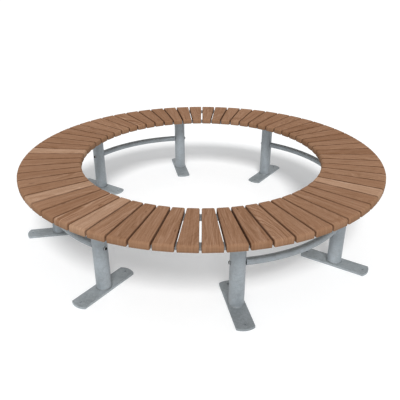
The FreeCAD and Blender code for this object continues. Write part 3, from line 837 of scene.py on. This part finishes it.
def tone_legs(legs):
    """Makes each leg's zinc duller or brighter near the ground and halfway up."""
    number = piece_numbers(legs)
    place = np.zeros(3 * len(number), np.float32)
    legs.data.vertices.foreach_get("co", place)
    heights = place.reshape(-1, 3)[:, 2]
    tones = np.zeros((len(number), 3))
    for leg, (low, halfway) in enumerate(LEG_TONES):
        own = number == leg
        tones[own] = np.interp(heights[own], LEG_TONE_HEIGHTS, (low, halfway, halfway, 0.0))[:, None]
    mark_points(legs, "zinc_tone", tones)


def stand_legs(steel):
    """Eight round legs, eased at the foot and the head."""
    rings = 12
    profile = [(LEG_RADIUS - LEG_EASE, LEG_FOOT), (LEG_RADIUS, LEG_FOOT + LEG_EASE)]
    profile += [(LEG_RADIUS, LEG_FOOT + (LEG_HEAD - LEG_FOOT) * k / rings) for k in range(1, rings)]
    profile += [(LEG_RADIUS, LEG_HEAD - LEG_EASE), (LEG_RADIUS - LEG_EASE, LEG_HEAD)]
    pattern = make_pattern("leg_pattern", lathe(profile, LEG_CIRCLE, 72))
    legs = set_round(pattern, "legs", LEG_COUNT, FIRST_LEG, LEG_PITCH, steel)
    tone_legs(legs)
    hand_over(legs, "galvanised_steel", *numbered("leg", LEG_COUNT))


def bend_braces(steel):
    """Four bent round tubes, cut square where they meet the legs."""
    centre = on_ring(BRACE_CENTRE, LEG_PITCH / 2, BRACE_HEIGHT)
    start, end = LEG_PITCH / 2 - BRACE_REACH, LEG_PITCH / 2 + BRACE_REACH
    steps, sides = 40, 40
    sections = []
    for radius, run in ((BRACE_RADIUS, range(steps + 1)), (BRACE_BORE, range(steps, -1, -1))):
        for k in run:
            angle = start + (end - start) * k / steps
            sections.append([centre + on_ring(BRACE_BEND + radius * math.cos(turn), angle,
                                              radius * math.sin(turn)) for turn in full_turn(sides)])
    pattern = make_pattern("brace_pattern", loft(sections, closed_loop=True))
    braces = set_round(pattern, "braces", SEGMENT_COUNT, FIRST_LEG, 2 * LEG_PITCH, steel)
    hand_over(braces, "galvanised_steel", *numbered("brace", SEGMENT_COUNT))


def run_foot_welds(weld):
    """Rippled bead round the bottom of each leg, each ripple a little fuller or thinner."""
    ripples, per_ripple, across, fullness = 46, 4, 7, 1.25
    swell = np.random.default_rng(5).normal(0, 0.05, ripples)
    root = LEG_RADIUS - 1 * MM
    sections = []
    for k, turn in enumerate(full_turn(ripples * per_ripple)):
        lap = (k % per_ripple) / per_ripple
        size = min(1.0, 0.92 + 0.05 * math.sin(lap * math.pi) + 0.2 * swell[k // per_ripple])
        ring = []
        for lift in quarter_turn(across):
            out = LEG_RADIUS + WELD_CLEARANCE + FOOT_WELD_WIDTH * size * math.cos(lift) ** fullness
            up = LEG_FOOT + FOOT_WELD_HEIGHT * size * math.sin(lift) ** fullness
            ring.append((LEG_CIRCLE + out * math.cos(turn), out * math.sin(turn), up))
        ring.append((LEG_CIRCLE + root * math.cos(turn), root * math.sin(turn),
                     LEG_FOOT + WELD_CLEARANCE))
        sections.append(ring)
    pattern = make_pattern("foot_weld_pattern", loft(sections, closed_loop=True), SHARP_WELD_EDGE)
    beads = set_round(pattern, "foot_welds", LEG_COUNT, FIRST_LEG, LEG_PITCH, weld)
    hand_over(beads, "weld", "foot_weld_beads")


def arm_weld(middle, side, base, rise, run):
    """Bead along one side of a cross arm, from a face at the base upwards or downwards."""
    steps, across, fullness = 32, 4, 1.3
    sections = []
    for k in range(steps + 1):
        taper = min(1.0, 0.35 + 4 * min(k, steps - k) / steps)
        size = ARM_WELD * taper * (0.90 + 0.09 * math.sin(k * math.pi / 2))
        x = middle + run * (k / steps - 0.5)
        section = [(x, side * BAR_WIDTH / 2, base)]
        for lift in quarter_turn(across):
            section.append((x, side * (BAR_WIDTH / 2 + size * math.cos(lift) ** fullness),
                            base + rise * size * math.sin(lift) ** fullness))
        sections.append(section)
    return loft(sections)


def run_arm_welds(weld):
    """Short rippled beads along each cross arm, on the cap and under both rails."""
    beads = []
    for side in (-1, 1):
        beads.append(arm_weld(LEG_CIRCLE, side, RAIL_BOTTOM - BAR_THICKNESS, 1, WELD_RUN))
        for rail, way in ((INNER_RAIL, 1), (OUTER_RAIL, -1)):
            beads.append(arm_weld(rail + way * ARM_SETBACK / 2, side, RAIL_BOTTOM, -1, RAIL_WELD_RUN))
    pattern = make_pattern("arm_weld_pattern", together(beads), SHARP_WELD_EDGE)
    welds = set_round(pattern, "arm_welds", LEG_COUNT, FIRST_LEG, LEG_PITCH, weld)
    hand_over(welds, "weld", "arm_weld_beads")


def drive_plank_screws(steel):
    """Two dome-headed screws under each plank at each rail."""
    crown = RAIL_BOTTOM - SCREW_HEAD_HEIGHT
    profile = [(SCREW_HEAD_RADIUS, RAIL_BOTTOM), (SCREW_HEAD_RADIUS, RAIL_BOTTOM - SCREW_HEAD_RIM),
               (SCREW_HEAD_RADIUS * 0.72, crown), (SCREW_RECESS_RADIUS, crown),
               (SCREW_RECESS_RADIUS - 0.2 * MM, crown + SCREW_RECESS_DEPTH)]
    for name, rail in (("inner", INNER_RAIL), ("outer", OUTER_RAIL)):
        pair = together([lathe(profile, rail + offset, 12) for offset in (-SCREW_OFFSET, SCREW_OFFSET)])
        screws = set_round(make_pattern("screw_pattern", pair), f"{name}_plank_screws", PLANK_COUNT,
                           FIRST_SEAM + PLANK_PITCH / 2, PLANK_PITCH, steel)
        hand_over(screws, "stainless_fastener", f"plank_screws_{name}")


def bolt_pattern(side):
    """Brace bolt beside a leg on +X; the brace is on the anticlockwise side where side is 1."""
    angle = side * (LEG_PITCH / 2 - BRACE_REACH)
    start = on_ring(BRACE_CENTRE, side * LEG_PITCH / 2, BRACE_HEIGHT) + on_ring(BRACE_BEND, angle, 0)
    axis = Vector((math.sin(angle), -math.cos(angle), 0)) * side
    across = Vector((axis.y, -axis.x, 0))
    up = Vector((0, 0, 1))
    seat = 2 * LEG_RADIUS + WASHER_THICKNESS

    def ring(radius, reach, flats=0):
        """Points round the bolt's axis, at a reach from its seat, with flats in the socket."""
        points = []
        for turn in full_turn(24):
            out = radius
            if flats:
                flat_turn = (turn + math.pi / flats) % (2 * math.pi / flats) - math.pi / flats
                out = radius / math.cos(flat_turn)
            away = across * math.cos(turn) + up * math.sin(turn)
            points.append(start + axis * (seat + reach) + away * out)
        return points

    sections = [ring(BOLT_RADIUS, -seat - BOLT_REACH), ring(BOLT_RADIUS, 0),
                ring(FLANGE_RADIUS - FLANGE_EASE / 2, 0), ring(FLANGE_RADIUS, 0.3 * MM),
                ring(FLANGE_RADIUS, FLANGE_THICKNESS - FLANGE_EASE),
                ring(FLANGE_RADIUS - FLANGE_EASE, FLANGE_THICKNESS), ring(DOME_RADIUS, FLANGE_THICKNESS)]
    for turn in quarter_turn(5)[1:]:
        sections.append(ring(CROWN_RADIUS + (DOME_RADIUS - CROWN_RADIUS) * math.cos(turn),
                             FLANGE_THICKNESS + (BOLT_HEAD_HEIGHT - FLANGE_THICKNESS) * math.sin(turn)))
    for reach in (BOLT_HEAD_HEIGHT, BOLT_HEAD_HEIGHT - SOCKET_DEPTH):
        sections.append(ring(SOCKET_WIDTH / 2, reach, flats=6))
    bolt = make_pattern("bolt_pattern", loft(sections))
    place = np.array([vertex.co - start for vertex in bolt.data.vertices])
    along = np.array(axis)
    mark_points(bolt, "from_axis", np.linalg.norm(place - np.outer(place @ along, along), axis=1))
    return bolt


def drive_brace_bolts(steel):
    """The eight brace bolts; neighbouring legs have them on opposite sides."""
    heads = [
        set_round(bolt_pattern(side), "brace_bolt_heads", LEG_COUNT // 2, first, 2 * LEG_PITCH, steel)
        for side, first in ((1, FIRST_LEG), (-1, FIRST_LEG + LEG_PITCH))]
    hand_over(joined("brace_bolt_heads", heads), "dark_bolt", "brace_bolts")


def paint_nodes(names, material):
    """Gives carried-over CAD nodes their finish."""
    for name in names:
        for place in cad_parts[name].material_slots:
            place.material = material


# The bench
frame_steel = galvanised_material("galvanised_frame", FRAME_ZINC)
# Darker zinc for the rails, as painted shade
rail_steel_shaded = galvanised_material("galvanised_rail_shaded", RAIL_ZINC_SHADED)
weld_steel = galvanised_material("galvanised_weld", WELD_ZINC, spangle=120.0, roughness=0.55)
bright_steel = fastener_material("stainless", STAINLESS, 0.9, 0.35)
washer_shade = fastener_material("washer_painted_shade", WASHER_SHADE_DARK, 0.5, 0.6)
plug_shade = fastener_material("plug_painted_shade", PLUG_SHADE_BLACK, 0.4, 0.7)
lay_seat()
lay_rails(rail_steel_shaded)
stand_legs(frame_steel)
bend_braces(frame_steel)
run_foot_welds(weld_steel)
run_arm_welds(weld_steel)
drive_plank_screws(bright_steel)
drive_brace_bolts(bolt_material())
for plate, (inner, outer) in zip(numbered("foot_plate", LEG_COUNT), FOOT_LIGHT_AND_SHADE):
    paint_nodes([plate], foot_plate_material("galvanised_" + plate, inner, outer))
paint_nodes(numbered("cross_arm", LEG_COUNT) + ["leg_caps", "inner_rail_splices", "outer_rail_splices"],
            frame_steel)
paint_nodes(["splice_bolts"], bright_steel)
# Dark washers paint the shade round the bolt heads
paint_nodes(["brace_washers"], washer_shade)
# Black plugs paint the shade in the seam where a brace meets a leg
paint_nodes(["brace_plugs"], plug_shade)


# Stage, light and camera. The plain strengths light the bench; the seen ones are what the camera and
# mirrored rays meet.
FLOOR_HALF = 40.0
FLOOR_SHADE, FLOOR_SEEN = 0.75, 0.92
FLOOR_GLOW, GLOW_COLOUR = 0.145, (0.90, 0.95, 1.0, 1.0)
WHITE = (1.0, 1.0, 1.0, 1.0)
SKY_STRENGTH, SKY_SEEN = 0.532, 1.0
SUN_STRENGTH, SUN_SPREAD = 2.165, math.radians(18)
SUN_HEIGHT, SUN_TURN = math.radians(48.5), math.radians(4.5)
# The camera stands at the photograph's place; the focal length is in pixels of a 400 x 400 image.
CAMERA_PLACE = (9.7 * MM, -2723.3 * MM, 1486.2 * MM)
CAMERA_DOWN, CAMERA_TURN = math.radians(26.35), math.radians(0.367)
FOCAL_PIXELS, IMAGE_PIXELS = 480.67, 400


def white_to_the_camera(tree, plain, seen):
    """Value that differs where a camera, glossy or transmission ray meets the surface."""
    light_path = add(tree, "ShaderNodeLightPath").outputs
    direct = maths(tree, "MAXIMUM", light_path["Is Camera Ray"], light_path["Is Glossy Ray"])
    direct = maths(tree, "MAXIMUM", direct, light_path["Is Transmission Ray"])
    return maths(tree, "MULTIPLY_ADD", direct, seen - plain, plain)


def lay_floor():
    corners = [(x * FLOOR_HALF, y * FLOOR_HALF, 0.0) for x, y in ((-1, -1), (1, -1), (1, 1), (-1, 1))]
    floor = make_piece("studio_floor", corners, [(0, 1, 2, 3)])
    material, tree, shader = new_material("pale_floor")
    fill(tree, shader, {
        "Base Color": grey(tree, white_to_the_camera(tree, FLOOR_SHADE, FLOOR_SEEN)),
        "Roughness": 1.0, "Specular IOR Level": 0.0, "Emission Color": GLOW_COLOUR,
        "Emission Strength": white_to_the_camera(tree, 0.0, FLOOR_GLOW)})
    floor.data.materials.append(material)


def light_studio():
    """White sky and one soft lamp, high at the front."""
    world = bpy.data.worlds.new("studio")
    world.use_nodes = True
    tree = world.node_tree
    fill(tree, tree.nodes["Background"], {
        "Color": WHITE, "Strength": white_to_the_camera(tree, SKY_STRENGTH, SKY_SEEN)})
    bpy.context.scene.world = world
    lamp = bpy.data.lights.new("softbox", "SUN")
    lamp.energy = SUN_STRENGTH
    lamp.angle = SUN_SPREAD
    placed("softbox", lamp).rotation_euler = (math.radians(90) - SUN_HEIGHT, 0, SUN_TURN)


def set_camera():
    data = bpy.data.cameras.new("photograph_view")
    data.lens = data.sensor_width * FOCAL_PIXELS / IMAGE_PIXELS
    camera = placed("photograph_view", data)
    camera.location = CAMERA_PLACE
    camera.rotation_euler = (math.radians(90) - CAMERA_DOWN, 0, CAMERA_TURN)
    bpy.context.scene.camera = camera


lay_floor()
light_studio()
set_camera()
bpy.context.scene.view_settings.view_transform = "Standard"
